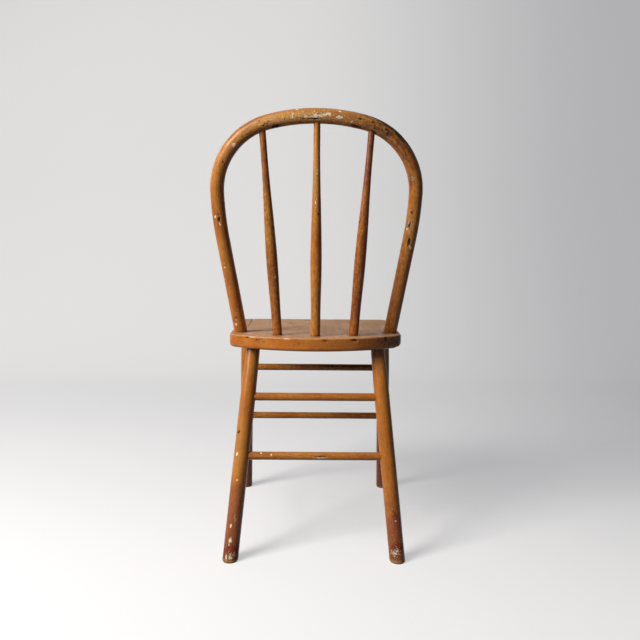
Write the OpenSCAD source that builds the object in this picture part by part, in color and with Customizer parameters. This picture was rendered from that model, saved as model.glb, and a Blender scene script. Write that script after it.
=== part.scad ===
// Bow-back kitchen chair: a plank seat, a bent hoop back with three swelled spindles,
// four raked legs and eight round stretchers, all glued into blind round sockets.
// X is the width, +Y is the back, the feet stand on Z = 0 and the origin is midway between them.
// Left is -X and right is +X, as seen by someone who faces the front of the chair.

/* [Seat] */
// Height of the seat's top above the floor
seat_h = 445; // [400:5:500]
// Thickness of the seat plank
seat_t = 27; // [25:1:34]
// Depth of the seat, from its front edge to the rearmost point
seat_d = 403; // [380:1:480]
// Width of the seat along its front edge, measured to the square corners
seat_front_w = 380; // [370:2:460]
// Width between the seat's sides, carried back to the rearmost point
seat_rear_w = 356; // [350:2:440]
// Radius of the curved rear edge
seat_rear_r = 262; // [240:2:400]
// Radius of the two rear corners
rear_corner_r = 32; // [15:1:45]
// Radius of the two front corners
front_corner_r = 30; // [15:1:45]
// Rounding of the seat's lower edge
under_edge_r = 7; // [3:0.5:10]
// Rounding of the seat's upper edge
upper_edge_r = 2.5; // [1:0.5:4]

/* [Split in the seat] */
// Distance of the split from the middle, at the front edge
split_x = 160; // [150:1:168]
// Length of the split, from the front edge back
split_len = 218; // [120:1:240]
// How far the split drifts towards the middle over its length
split_drift = 6; // [0:0.5:10]
// Opening of the split at the front edge
split_w = 2; // [0.8:0.2:4]

/* [Legs] */
// Diameter of a leg at the floor and along most of its length
leg_d = 31.6; // [28:0.2:38]
// Diameter of a leg where it enters the seat
leg_top_d = 28.8; // [26:0.2:30]
// Length over which a leg narrows on its way up to the seat
leg_taper_len = 106; // [60:2:160]
// Plain length of a leg just below the seat, above the narrowing
leg_neck = 6; // [6:1:20]
// Depth of the leg sockets, along the leg
leg_socket = 18; // [14:0.5:20]
// Distance of the rear legs from the seat's rearmost point, at the seat's underside
rear_leg_in = 68; // [60:1:90]
// Distance of the rear legs from the seat's sides, at the seat's underside
rear_leg_side = 50.5; // [35:0.5:70]
// Backward slope of the rear legs, in degrees
rear_rake = 13; // [5:0.5:16]
// Sideways slope of the rear legs, in degrees
rear_splay = 5.2; // [0:0.2:10]
// Distance of the front legs from the seat's front edge, at the seat's underside
front_leg_in = 55; // [40:1:80]
// Distance of the front legs from the seat's sides, at the seat's underside
front_leg_side = 18.2; // [18:0.2:40]
// Forward slope of the front legs, in degrees
front_rake = 7.8; // [0:0.2:12]
// Sideways slope of the front legs, in degrees
front_splay = 1.4; // [0:0.2:8]

/* [Stretchers] */
// Diameter of every stretcher
stretcher_d = 16.8; // [12:0.2:19]
// Height of the upper stretcher between the rear legs
rear_upper_z = 318; // [300:1:345]
// Height of the lower stretcher between the rear legs
rear_lower_z = 201; // [185:1:230]
// Height of the upper stretcher between the front legs
front_upper_z = 326.5; // [305:0.5:345]
// Height of the lower stretcher between the front legs
front_lower_z = 197.5; // [185:0.5:230]
// Height of the upper stretchers between a front and a rear leg
side_upper_z = 280; // [255:1:281]
// Height of the lower stretchers between a front and a rear leg
side_lower_z = 158; // [120:1:160]
// How far a stretcher's end goes past the middle of the leg
stretcher_past = 2; // [0:0.5:4]

/* [Hoop] */
// Diameter of the bent rod at its feet
hoop_foot_d = 28; // [24:0.2:29]
// How much thicker the bent rod is at the middle of its crown than at its feet
hoop_swell = 2.4; // [0.8:0.2:5]
// Height of the hoop above the seat, along its own slope, to the middle of the rod
hoop_rise = 444.3; // [420:0.5:480]
// Distance of the hoop's feet from the seat's rearmost point
hoop_in = 110; // [100:1:130]
// Distance of the hoop's feet from the seat's sides
hoop_side = 21.4; // [20:0.2:40]
// Backward slope of the hoop, in degrees
hoop_lean = 12.5; // [6:0.5:16]
// Outward slope of the hoop's straight feet, in degrees
hoop_splay = 8.8; // [4:0.2:11]
// Radius of the slight bend above each foot
waist_r = 670; // [500:10:800]
// Angle of the slight bend above each foot, in degrees
waist_angle = 7.8; // [2:0.2:9]
// Radius of the shoulders
shoulder_r = 139; // [120:1:160]
// Angle of each shoulder, in degrees
shoulder_angle = 76.4; // [70:0.2:80]
// Depth of the hoop's sockets in the seat, along the rod
hoop_socket = 18; // [14:0.5:19]

/* [Spindles] */
// Diameter of a spindle at the seat
spindle_foot_d = 20; // [16:0.2:22]
// Diameter of a spindle at its fullest
spindle_belly_d = 23.2; // [20:0.2:26]
// Diameter of a spindle at the hoop
spindle_top_d = 13.5; // [10:0.1:16]
// Height of the fullest part above the seat, along the spindle
belly_up = 145; // [100:1:190]
// Height at which the foot's plain stretch ends, along the spindle
foot_up = 40; // [20:1:60]
// Length of the plain stretch below the hoop
neck_down = 35; // [20:1:60]
// Distance of the middle spindle from the seat's rearmost point
spindle_in = 43.5; // [35:0.5:55]
// Radius of the row of spindle sockets in the seat
spindle_row_r = 250; // [220:1:400]
// Distance of the outer spindles from the middle, at the seat
spindle_foot_x = 78.4; // [60:0.2:90]
// Distance of the outer spindles from the middle, at the hoop
spindle_top_x = 107.5; // [80:0.5:120]
// Depth of the spindle sockets in the seat, along the spindle
spindle_socket = 18; // [12:0.5:20]
// How far a spindle's end goes past the middle of the hoop's rod
spindle_past = 2; // [0:0.5:4]

/* [Fits] */
// Glue gap around every peg in its socket
glue_gap = 0.1; // [0.05:0.05:0.3]
// Room left beyond the end of every peg
end_gap = 0.5; // [0.2:0.1:1]

/* [Colours] */
// Satin ochre paint over the turned and bent pieces
ochre = "#b5762c"; // [#b5762c, #a8682a, #c08238]
// The seat's duller, dusty paint
seat_colour = "#a9714a"; // [#a9714a, #b5762c, #8f6038]
// The redder paint of the left-hand spindle
red_ochre = "#a4582e"; // [#a4582e, #b5762c, #8a3c26]

/* [Hidden] */

$fn = 96;
LEFT = -1;
RIGHT = 1;
REAR = 1;
FRONT = -1;
under_step = 22.5;  // degrees between the levels of the seat's lower edge
upper_step = 45;    // degrees between the levels of the seat's upper edge
corner_parts = 9;   // lengths around each corner of the seat
rear_parts = 18;    // lengths along each half of the seat's rear edge
taper_steps = 6;    // points along a leg's narrowing
swell_steps = 8;    // points along each half of a spindle's swelling
beyond = 60;        // length by which cutting solids run past the wood
dowel_chamfer = 1;  // bevel on the hidden end of every peg
shoulder_parts = 4; // lengths of slightly thicker rod around each shoulder
crown_parts = 2;    // the same over each half of the crown
lap = 0.5;          // how far each length of rod runs on inside the next, thicker one
seam_turn = 45;     // turns the line where a round surface closes off the ends of the sockets' mouths

under_z = seat_h - seat_t;
leg_r = leg_d / 2;
side_slope = (seat_front_w - seat_rear_w) / 2 / seat_d;
side_angle = atan(side_slope);

// Half the seat's width at a distance from its rearmost point.
function half_width(back) = seat_rear_w / 2 + back * side_slope;

// Slopes of the legs as run per unit of height, pointing down and out.
rear_run = [tan(rear_splay), tan(rear_rake)];
front_run = [tan(front_splay), tan(front_rake)];

// Legs measured from the rearmost point of the seat; the two outermost feet then set the origin.
rear_reach = under_z * rear_run[1] + leg_r * norm([1, rear_run[1]]) - rear_leg_in;
front_reach = seat_d - front_leg_in + under_z * front_run[1] + leg_r * norm([1, front_run[1]]);
rear_y = (front_reach - rear_reach) / 2;
front_y = rear_y - seat_d;

rear_leg_x = half_width(rear_leg_in) - rear_leg_side;
front_leg_x = half_width(seat_d - front_leg_in) - front_leg_side;

// The middle of a leg at height z: end is REAR or FRONT, side is LEFT or RIGHT.
function leg_at(end, side, z) =
    let (run = end == REAR ? rear_run : front_run, drop = under_z - z,
        x = end == REAR ? rear_leg_x : front_leg_x,
        y = end == REAR ? rear_y - rear_leg_in : front_y + front_leg_in)
    [side * (x + drop * run[0]), y + end * drop * run[1], z];

// The hoop's centre line, drawn flat: x is across, y is up the slope, from the seat's top.
hoop_foot_x = half_width(hoop_in) - hoop_side;
hoop_foot_y = rear_y - hoop_in;
heading_0 = 90 - hoop_splay;
heading_1 = heading_0 + waist_angle;
heading_2 = heading_1 + shoulder_angle;
heading_3 = 180;

// How far an arc of radius r travels while it turns left from heading a to heading b.
function arc_travel(r, a, b) = r * [sin(b) - sin(a), cos(a) - cos(b)];

waist_travel = arc_travel(waist_r, heading_0, heading_1);
shoulder_travel = arc_travel(shoulder_r, heading_1, heading_2);
crown_unit = arc_travel(1, heading_2, heading_3);
straight_unit = [cos(heading_0), sin(heading_0)];

// The straight foot and the crown's radius follow from the hoop's rise and from closing at the middle.
bend_x = hoop_foot_x + waist_travel[0] + shoulder_travel[0];
bend_y = waist_travel[1] + shoulder_travel[1];
closing = straight_unit[0] * crown_unit[1] - straight_unit[1] * crown_unit[0];
straight_len = (-bend_x * crown_unit[1] - (hoop_rise - bend_y) * crown_unit[0]) / closing;
crown_r = (straight_unit[0] * (hoop_rise - bend_y) + straight_unit[1] * bend_x) / closing;

waist_start = [hoop_foot_x, 0] + straight_len * straight_unit;
shoulder_start = waist_start + waist_travel;
crown_start = shoulder_start + shoulder_travel;

// The centre of an arc that starts at a point with a heading and turns left.
function arc_centre(start, r, heading) = start + r * [-sin(heading), cos(heading)];

shoulder_centre = arc_centre(shoulder_start, shoulder_r, heading_1);
crown_centre = [0, hoop_rise - crown_r];

// Height of the hoop's centre line above x, up the slope.
function hoop_up(x) = abs(x) <= crown_start[0]
    ? crown_centre[1] + sqrt(crown_r ^ 2 - x ^ 2)
    : shoulder_centre[1] + sqrt(shoulder_r ^ 2 - (abs(x) - shoulder_centre[0]) ^ 2);

// A point of the hoop's flat drawing, placed in the chair.
function on_hoop(x, up) = [x, hoop_foot_y + up * sin(hoop_lean), seat_h + up * cos(hoop_lean)];

// Both ends of a spindle: on the seat's top and on the hoop's centre line; place is -1, 0 or 1.
function spindle_foot(place) =
    let (x = place * spindle_foot_x)
    [x, rear_y - spindle_in - spindle_row_r + sqrt(spindle_row_r ^ 2 - x ^ 2), seat_h];
function spindle_top(place) = let (x = place * spindle_top_x) on_hoop(x, hoop_up(x));

function ease(t) = (1 - cos(180 * t)) / 2;

// The angle that a length covers around a circle of radius r.
function degrees_of(length, r) = length / r * 180 / PI;

// Stands children, drawn along +Z from the origin, at p and pointing to q.
module along(p, q) {
    v = q - p;
    translate(p)
        rotate([0, acos(v[2] / norm(v)), atan2(v[1], v[0])])
            children();
}

// A round peg from p to q, running past both points.
module peg(p, q, d, past) {
    full = norm(q - p) + 2 * past;
    along(p, q)
        translate([0, 0, -past])
            rotate_extrude()
                polygon([
                    [0, 0], [d / 2 - dowel_chamfer, 0], [d / 2, dowel_chamfer],
                    [d / 2, full - dowel_chamfer], [d / 2 - dowel_chamfer, full], [0, full]
                ]);
}

// The space for a peg's end: it starts behind p by depth and opens towards q.
module socket(p, q, d, depth) {
    along(p, q)
        translate([0, 0, -depth - end_gap])
            rotate(seam_turn)
                cylinder(h = depth + end_gap + beyond, d = d + 2 * glue_gap);
}

// ---- Seat ----

// The seat's edge from underside to top: how far each level is set in, and its height.
edge_levels = concat(
    [for (a = [0 : under_step : 90]) under_edge_r * [1 - sin(a), 1 - cos(a)]],
    [for (a = [0 : upper_step : 90]) upper_edge_r * [1 - cos(a), sin(a) - 1] + [0, seat_t]]
);

// Outward direction of the right-hand side, and the middles of the right-hand corner circles.
side_out = side_angle;
front_corner = [
    half_width(seat_d - front_corner_r) - front_corner_r / cos(side_angle),
    front_y + front_corner_r
];
rear_arc_centre = [0, rear_y - seat_rear_r];

// The rear corner circle touches the side and the rear arc from inside.
rear_corner_reach = seat_rear_r - rear_corner_r;
side_gap = half_width(seat_rear_r) * cos(side_angle) - rear_corner_r;
rear_corner_dir = side_out + acos(side_gap / rear_corner_reach);
rear_corner = rear_arc_centre + rear_corner_reach * [cos(rear_corner_dir), sin(rear_corner_dir)];

function arc_points(centre, r, from, to, parts) =
    [for (i = [0 : parts]) let (a = from + (to - from) * i / parts) centre + r * [cos(a), sin(a)]];

// The right-hand half of the seat's outline, set in all round, from the front to the rearmost point.
function half_outline(inset) = concat(
    arc_points(front_corner, front_corner_r - inset, -90, side_out, corner_parts),
    arc_points(rear_corner, rear_corner_r - inset, side_out, rear_corner_dir, corner_parts),
    [for (i = [1 : rear_parts])
        let (a = rear_corner_dir + (90 - rear_corner_dir) * i / rear_parts)
        rear_arc_centre + (seat_rear_r - inset) * [cos(a), sin(a)]]
);

function seat_outline(inset) =
    let (right = half_outline(inset), n = len(right))
    concat(right, [for (i = [n - 2 : -1 : 0]) [-right[i][0], right[i][1]]]);

// A closed skin over level rings that have the same number of points.
module stack(rings) {
    n = len(rings[0]);
    last = len(rings) - 1;
    polyhedron(
        points = [for (ring = rings) each ring],
        faces = concat(
            [[for (i = [0 : n - 1]) i]],
            [for (k = [0 : last - 1], i = [0 : n - 1])
                let (j = (i + 1) % n)
                [k * n + i, (k + 1) * n + i, (k + 1) * n + j, k * n + j]],
            [[for (i = [n - 1 : -1 : 0]) last * n + i]]
        )
    );
}

module seat_blank() {
    stack([for (level = edge_levels) [for (p = seat_outline(level[0])) [p[0], p[1], level[1]]]]);
}

module split() {
    translate([0, front_y, under_z])
        linear_extrude(3 * seat_t, center = true)
            polygon([
                [split_x - split_w / 2, -1], [split_x + split_w / 2, -1],
                [split_x - split_drift, split_len]
            ]);
}

module seat() {
    color(seat_colour)
    difference() {
        translate([0, 0, under_z]) seat_blank();
        for (side = [LEFT, RIGHT]) {
            for (end = [FRONT, REAR])
                socket(leg_at(end, side, under_z), leg_at(end, side, 0), leg_top_d, leg_socket);
            socket(hoop_foot(side), hoop_foot_up(side), hoop_foot_d, hoop_socket);
        }
        for (place = [-1, 0, 1])
            socket(spindle_foot(place), spindle_top(place), spindle_foot_d, spindle_socket);
        split();
    }
}

// ---- Hoop ----

function hoop_foot(side) = on_hoop(side * hoop_foot_x, 0);
function hoop_foot_up(side) = on_hoop(side * waist_start[0], waist_start[1]);

// The rod is thickest at the crown: its lengths are counted from 0, the straight foot.
last_part = shoulder_parts + crown_parts + 1;
function rod_d(part) = hoop_foot_d + hoop_swell * pow(part / last_part, 1.5);

// One bend of the rod, in the flat drawing; headings are the directions of travel.
module bend(centre, r, from, to, d) {
    translate(centre)
        rotate_extrude(angle = to - from, start = from - 90)
            translate([r, 0])
                circle(d = d);
}

// A bend in equal parts, each thicker than the last; whole turns the arc through all of them.
module thickening_bend(centre, r, from, to, parts, whole, first_part) {
    turn = (to - from) / whole;
    for (i = [0 : parts - 1])
        bend(centre, r, from + i * turn, from + (i + 1) * turn + degrees_of(lap, r), rod_d(first_part + i));
}

module hoop_half() {
    translate([hoop_foot_x, 0, 0])
        rotate([-90, 0, heading_0 - 90])
            translate([0, 0, -hoop_socket])
                cylinder(h = hoop_socket + straight_len + lap, d = rod_d(0));
    thickening_bend(arc_centre(waist_start, waist_r, heading_0), waist_r, heading_0, heading_1, 1, 1, 1);
    thickening_bend(shoulder_centre, shoulder_r, heading_1, heading_2, shoulder_parts, shoulder_parts, 2);
    thickening_bend(crown_centre, crown_r, heading_2, heading_3, crown_parts - 1, crown_parts,
        shoulder_parts + 2);
}

module on_both_sides() {
    children();
    mirror([1, 0, 0]) children();
}

// The thickest length, over the middle of the crown.
module crown_middle() {
    half = (heading_3 - heading_2) / crown_parts;
    bend(crown_centre, crown_r, heading_3 - half, heading_3 + half, rod_d(last_part));
}

module hoop() {
    color(ochre)
    difference() {
        translate([0, hoop_foot_y, seat_h])
            rotate([90 - hoop_lean, 0, 0]) {
                on_both_sides() hoop_half();
                crown_middle();
            }
        for (place = [-1, 0, 1])
            socket(spindle_top(place), spindle_foot(place), spindle_top_d, spindle_past);
    }
}

// ---- Spindles ----

// Half-outline of a spindle from its hidden foot to its hidden top; len is seat to hoop centre.
function spindle_outline(len) =
    let (foot_r = spindle_foot_d / 2, belly_r = spindle_belly_d / 2, top_r = spindle_top_d / 2,
        bottom = -spindle_socket, top = len + spindle_past, neck = len - rod_d(last_part) / 2 - neck_down)
    concat(
        [[0, bottom], [foot_r - dowel_chamfer, bottom], [foot_r, bottom + dowel_chamfer]],
        [for (i = [0 : swell_steps])
            [foot_r + (belly_r - foot_r) * ease(i / swell_steps),
                foot_up + (belly_up - foot_up) * i / swell_steps]],
        [for (i = [1 : swell_steps])
            [belly_r + (top_r - belly_r) * ease(i / swell_steps),
                belly_up + (neck - belly_up) * i / swell_steps]],
        [[top_r, top - dowel_chamfer], [top_r - dowel_chamfer, top], [0, top]]
    );

module spindle(place) {
    foot = spindle_foot(place);
    top = spindle_top(place);
    along(foot, top)
        rotate_extrude()
            polygon(spindle_outline(norm(top - foot)));
}

module spindle_left() { color(red_ochre) spindle(LEFT); }
module spindle_middle() { color(ochre) spindle(0); }
module spindle_right() { color(ochre) spindle(RIGHT); }

// ---- Legs ----

// Half-outline of a leg; len is from the floor to the seat's underside, along the leg.
function leg_outline(len) =
    let (top_r = leg_top_d / 2, top = len + leg_socket)
    concat(
        [[0, -leg_r], [leg_r, -leg_r]],
        [for (i = [0 : taper_steps])
            [leg_r + (top_r - leg_r) * ease(i / taper_steps / 2) * 2,
                len - leg_neck - leg_taper_len * (1 - i / taper_steps)]],
        [[top_r, top - dowel_chamfer], [top_r - dowel_chamfer, top], [0, top]]
    );

module leg(end, side) {
    floor_point = leg_at(end, side, 0);
    seat_point = leg_at(end, side, under_z);
    difference() {
        along(floor_point, seat_point)
            rotate(seam_turn)
                rotate_extrude()
                    polygon(leg_outline(norm(seat_point - floor_point)));
        translate([floor_point[0] - beyond, floor_point[1] - beyond, -beyond])
            cube([2 * beyond, 2 * beyond, beyond]);
        cross_heights = end == REAR ? [rear_upper_z, rear_lower_z] : [front_upper_z, front_lower_z];
        for (z = cross_heights)
            socket(leg_at(end, side, z), leg_at(end, -side, z), stretcher_d, stretcher_past);
        for (z = [side_upper_z, side_lower_z])
            socket(leg_at(end, side, z), leg_at(-end, side, z), stretcher_d, stretcher_past);
    }
}

module rear_leg_left() { color(ochre) leg(REAR, LEFT); }
module rear_leg_right() { color(ochre) leg(REAR, RIGHT); }
module front_leg_left() { color(ochre) leg(FRONT, LEFT); }
module front_leg_right() { color(ochre) leg(FRONT, RIGHT); }

// ---- Stretchers ----

// Between the two legs at one end of the chair.
module cross_stretcher(end, z) {
    color(ochre) peg(leg_at(end, LEFT, z), leg_at(end, RIGHT, z), stretcher_d, stretcher_past);
}

// Between the front and the rear leg on one side.
module side_stretcher(side, z) {
    color(ochre) peg(leg_at(FRONT, side, z), leg_at(REAR, side, z), stretcher_d, stretcher_past);
}

module rear_stretcher_upper() { cross_stretcher(REAR, rear_upper_z); }
module rear_stretcher_lower() { cross_stretcher(REAR, rear_lower_z); }
module front_stretcher_upper() { cross_stretcher(FRONT, front_upper_z); }
module front_stretcher_lower() { cross_stretcher(FRONT, front_lower_z); }
module side_stretcher_left_upper() { side_stretcher(LEFT, side_upper_z); }
module side_stretcher_left_lower() { side_stretcher(LEFT, side_lower_z); }
module side_stretcher_right_upper() { side_stretcher(RIGHT, side_upper_z); }
module side_stretcher_right_lower() { side_stretcher(RIGHT, side_lower_z); }

seat();
hoop();
spindle_left();
spindle_middle();
spindle_right();
rear_leg_left();
rear_leg_right();
front_leg_left();
front_leg_right();
rear_stretcher_upper();
rear_stretcher_lower();
front_stretcher_upper();
front_stretcher_lower();
side_stretcher_left_upper();
side_stretcher_left_lower();
side_stretcher_right_upper();
side_stretcher_right_lower();
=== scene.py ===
"""A bow-back kitchen chair in old peeling paint, modelled over its fixed frame."""

import math

import bpy
import numpy as np
from mathutils import Matrix, Vector, noise
from mathutils.geometry import delaunay_2d_cdt
from mathutils.kdtree import KDTree


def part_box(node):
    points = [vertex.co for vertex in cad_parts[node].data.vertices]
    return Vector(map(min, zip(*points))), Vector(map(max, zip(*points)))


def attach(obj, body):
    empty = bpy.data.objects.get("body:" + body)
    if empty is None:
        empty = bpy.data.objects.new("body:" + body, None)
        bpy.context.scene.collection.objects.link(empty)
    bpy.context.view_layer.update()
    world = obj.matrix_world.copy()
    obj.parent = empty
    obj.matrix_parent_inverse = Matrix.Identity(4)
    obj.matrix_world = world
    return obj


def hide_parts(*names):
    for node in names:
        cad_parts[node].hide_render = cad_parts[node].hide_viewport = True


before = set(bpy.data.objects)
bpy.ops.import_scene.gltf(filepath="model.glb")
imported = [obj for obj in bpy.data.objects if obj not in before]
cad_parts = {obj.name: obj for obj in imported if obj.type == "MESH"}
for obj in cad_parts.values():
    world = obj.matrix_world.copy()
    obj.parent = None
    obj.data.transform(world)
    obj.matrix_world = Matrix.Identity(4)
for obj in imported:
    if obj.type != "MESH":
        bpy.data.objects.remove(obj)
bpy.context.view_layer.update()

MM = 0.001

# ---------------------------------------------------------------- sizes, in millimetres

SEAT_TOP, SEAT_THICK, SEAT_DEPTH = 445.0, 27.0, 403.0
SEAT_FRONT_WIDE, SEAT_REAR_WIDE, SEAT_REAR_R = 380.0, 356.0, 262.0
REAR_CORNER_R, FRONT_CORNER_R = 32.0, 30.0
UNDER_EDGE_R, UPPER_EDGE_R = 7.0, 2.5
SPLIT_X, SPLIT_LONG, SPLIT_DRIFT, SPLIT_WIDE = 160.0, 218.0, 6.0, 2.0

LEG_D, LEG_TOP_D, LEG_TAPER, LEG_NECK, LEG_SOCKET = 31.6, 28.8, 106.0, 6.0, 18.0
REAR_LEG_IN, REAR_LEG_SIDE, REAR_RAKE, REAR_SPLAY = 68.0, 50.5, 13.0, 5.2
FRONT_LEG_IN, FRONT_LEG_SIDE, FRONT_RAKE, FRONT_SPLAY = 55.0, 18.2, 7.8, 1.4

STRETCHER_D, STRETCHER_PAST = 16.8, 2.0
REAR_HEIGHTS = {"upper": 318.0, "lower": 201.0}
FRONT_HEIGHTS = {"upper": 326.5, "lower": 197.5}
SIDE_HEIGHTS = {"upper": 280.0, "lower": 158.0}

HOOP_FOOT_D, HOOP_SWELL, HOOP_RISE, HOOP_SOCKET = 28.0, 2.4, 444.3, 18.0
HOOP_IN, HOOP_SIDE, HOOP_LEAN, HOOP_SPLAY = 110.0, 21.4, 12.5, 8.8
WAIST_R, WAIST_ANGLE, SHOULDER_R, SHOULDER_ANGLE = 670.0, 7.8, 139.0, 76.4

SPINDLE_FOOT_D, SPINDLE_BELLY_D, SPINDLE_TOP_D = 20.0, 23.2, 13.5
BELLY_UP, FOOT_UP, NECK_DOWN, SPINDLE_SOCKET = 145.0, 40.0, 35.0, 18.0
SPINDLE_IN, SPINDLE_ROW_R, SPINDLE_FOOT_X, SPINDLE_TOP_X = 43.5, 250.0, 78.4, 107.5

LEFT, RIGHT, REAR, FRONT = -1, 1, 1, -1
UNDER_Z = SEAT_TOP - SEAT_THICK
REAR_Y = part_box("seat")[1][1] / MM
FRONT_Y = REAR_Y - SEAT_DEPTH


def tan(degrees):
    return math.tan(math.radians(degrees))


def half_width(back):
    return SEAT_REAR_WIDE / 2 + back * (SEAT_FRONT_WIDE - SEAT_REAR_WIDE) / 2 / SEAT_DEPTH


def leg_at(end, side, z):
    """The middle of a leg at height z."""
    drop = UNDER_Z - z
    if end == REAR:
        x = half_width(REAR_LEG_IN) - REAR_LEG_SIDE + drop * tan(REAR_SPLAY)
        y = REAR_Y - REAR_LEG_IN + drop * tan(REAR_RAKE)
    else:
        x = half_width(SEAT_DEPTH - FRONT_LEG_IN) - FRONT_LEG_SIDE + drop * tan(FRONT_SPLAY)
        y = FRONT_Y + FRONT_LEG_IN - drop * tan(FRONT_RAKE)
    return np.array([side * x, y, z])


# ---------------------------------------------------------------- camera, light and floor

# the camera stands behind the chair: millimetres, and degrees from level and square
LENS, SENSOR_WIDTH, CAMERA_AT = 37.3, 36.0, (1.2, 1493.0, 609.7)
CAMERA_YAW, CAMERA_DOWN, CAMERA_ROLL = 0.433, 5.58, 0.461

camera_data = bpy.data.cameras.new("camera")
camera_data.lens, camera_data.sensor_width = LENS, SENSOR_WIDTH
camera = bpy.data.objects.new("camera", camera_data)
bpy.context.collection.objects.link(camera)
camera.matrix_world = (
    Matrix.Translation(Vector(CAMERA_AT) * MM)
    @ Matrix.Rotation(math.radians(180 - CAMERA_YAW), 4, "Z")
    @ Matrix.Rotation(math.radians(90 - CAMERA_DOWN), 4, "X")
    @ Matrix.Rotation(math.radians(CAMERA_ROLL), 4, "Z")
)
bpy.context.scene.camera = camera
bpy.context.scene.view_settings.view_transform = "Standard"


def linear(colour):
    """An sRGB hex colour as linear red, green, blue and full alpha."""
    parts = [int(colour[i : i + 2], 16) / 255 for i in (1, 3, 5)]
    return tuple(c / 12.92 if c <= 0.04045 else ((c + 0.055) / 1.055) ** 2.4 for c in parts) + (1.0,)


def add(tree, kind, settings=None, inputs=None):
    """Adds a node and returns its outputs. An input is a value, an sRGB hex colour or the socket that
    feeds it."""
    node = tree.nodes.new(kind)
    for name, value in (settings or {}).items():
        setattr(node, name, value)
    for name, value in (inputs or {}).items():
        if isinstance(value, bpy.types.NodeSocket):
            tree.links.new(value, node.inputs[name])
        else:
            is_colour = isinstance(value, str) and value.startswith("#")
            node.inputs[name].default_value = linear(value) if is_colour else value
    return node.outputs


MATHS, VECTORS = "ShaderNodeMath", "ShaderNodeVectorMath"
EVERYWHERE = 1.0


def noise_fields(tree, grain, rows):
    """Soft noise from 0 to 1 for each name in rows. A row is the size of a cell in mm, the detail, the
    roughness, how many times longer the cells are along the grain, and where along it the noise starts."""
    fields = {}
    for name, (cell, detail, rough, longer, start) in rows.items():
        placed = add(tree, VECTORS, {"operation": "MULTIPLY_ADD"}, {
            0: grain, 1: (1 / longer, 1, 1), 2: (start, 0, 0)})[0]
        fields[name] = add(tree, "ShaderNodeTexNoise", inputs={
            "Vector": placed, "Scale": 1 / (cell * MM), "Detail": detail, "Roughness": rough})[0]
    return fields


def lay_over(tree, colour, coats):
    """Lays coats over a colour, and returns it with each coat's share. A coat is (place, field, start, full,
    least, most, colour): in its place it covers by least before the field reaches start, and by most from
    full on, with a smooth change between."""
    shares = []
    for place, field, start, full, least, most, over in coats:
        opened = add(tree, "ShaderNodeMapRange", {"interpolation_type": "SMOOTHSTEP"}, {
            "Value": field, "From Min": start, "From Max": full, "To Min": least, "To Max": most})[0]
        share = add(tree, MATHS, {"operation": "MULTIPLY"}, {0: opened, 1: place})[0]
        colour = add(tree, "ShaderNodeMix", {"data_type": "RGBA"}, {0: share, 6: colour, 7: over})[2]
        shares.append(share)
    return colour, shares


def area_light(name, place, target, size, power, colour):
    data = bpy.data.lights.new(name, "AREA")
    data.shape, data.size, data.size_y = "RECTANGLE", size[0], size[1]
    data.energy, data.color = power, linear(colour)[:3]
    lamp = bpy.data.objects.new(name, data)
    lamp.location = place
    lamp.rotation_euler = (Vector(target) - Vector(place)).to_track_quat("-Z", "Y").to_euler()
    bpy.context.collection.objects.link(lamp)


area_light("window", (1.9, 1.42, 1.8), (0, 0, 0.5), (1.1, 1.4), 98, "#fffaf2")
area_light("far_window", (3.1, -1.5, 1.6), (0, 0, 0.5), (1.6, 1.8), 10, "#fbfaff")
area_light("ceiling_bounce", (1.1, 1.3, 2.6), (0, 0, 0.5), (1.4, 1.4), 17, "#fdfcff")


def shows_background(tree):
    """1 for the rays that show a background, 0 for those that light the chair."""
    path = add(tree, "ShaderNodeLightPath")
    seen = 0.0
    for ray in ("Is Camera Ray", "Is Glossy Ray", "Is Transmission Ray"):
        seen = add(tree, MATHS, {"operation": "MAXIMUM"}, {0: seen, 1: path[ray]})[0]
    return seen


def room():
    """A dim room that only looks pale, and a little less so away from the window."""
    world = bpy.data.worlds.new("room")
    world.use_nodes = True
    tree = world.node_tree
    tree.nodes.clear()
    way = add(tree, "ShaderNodeTexCoord")["Generated"]
    towards_window = add(tree, "ShaderNodeSeparateXYZ", inputs={0: way})["X"]
    pale = add(tree, "ShaderNodeMapRange", {"interpolation_type": "SMOOTHSTEP"}, {
        "Value": towards_window, "From Min": -0.8, "From Max": 0.5, "To Min": 0.44, "To Max": 0.78})[0]
    strength = add(tree, "ShaderNodeMapRange", inputs={
        "Value": shows_background(tree), "To Min": 0.012, "To Max": pale})[0]
    sky = add(tree, "ShaderNodeBackground", inputs={"Color": "#f4f3f6", "Strength": strength})[0]
    add(tree, "ShaderNodeOutputWorld", inputs={"Surface": sky})
    return world


bpy.context.scene.world = room()


def new_material(name):
    material = bpy.data.materials.new(name)
    material.use_nodes = True
    material.node_tree.nodes.clear()
    return material


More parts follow.
